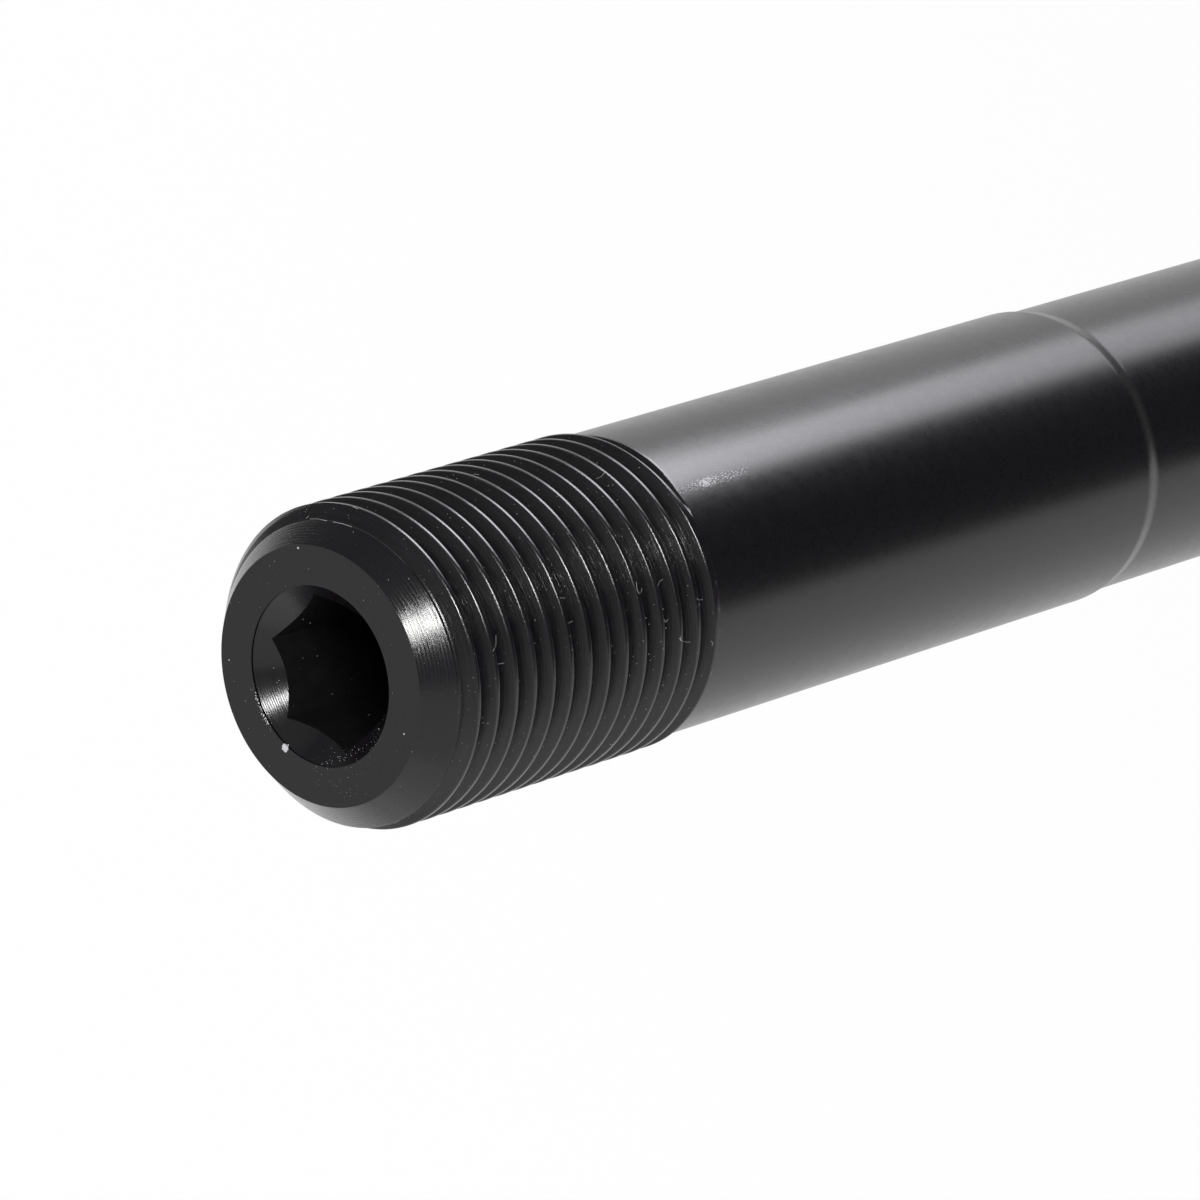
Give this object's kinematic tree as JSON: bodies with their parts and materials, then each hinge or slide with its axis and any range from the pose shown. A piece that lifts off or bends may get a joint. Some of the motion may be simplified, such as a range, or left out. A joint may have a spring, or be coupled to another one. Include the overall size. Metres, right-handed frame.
{
  "type": "bicycle thru axle",
  "caption": "Black turned axle bar with a fine threaded tip, relieved shank, flanged head and a hexagon key socket in each end, for clamping a bicycle wheel in its frame.",
  "frame": {"origin": "centre of the head's flat end face, on which the axle stands", "axes": "+Z along the axle from the head to the threaded tip; +X through a corner of each hexagon socket"},
  "size_m": [0.019, 0.019, 0.167],
  "materials": {
    "black_anodised": "satin black anodised"
  },
  "bodies": {
    "root": {"thru_axle": "black_anodised"}
  },
  "joints": []
}
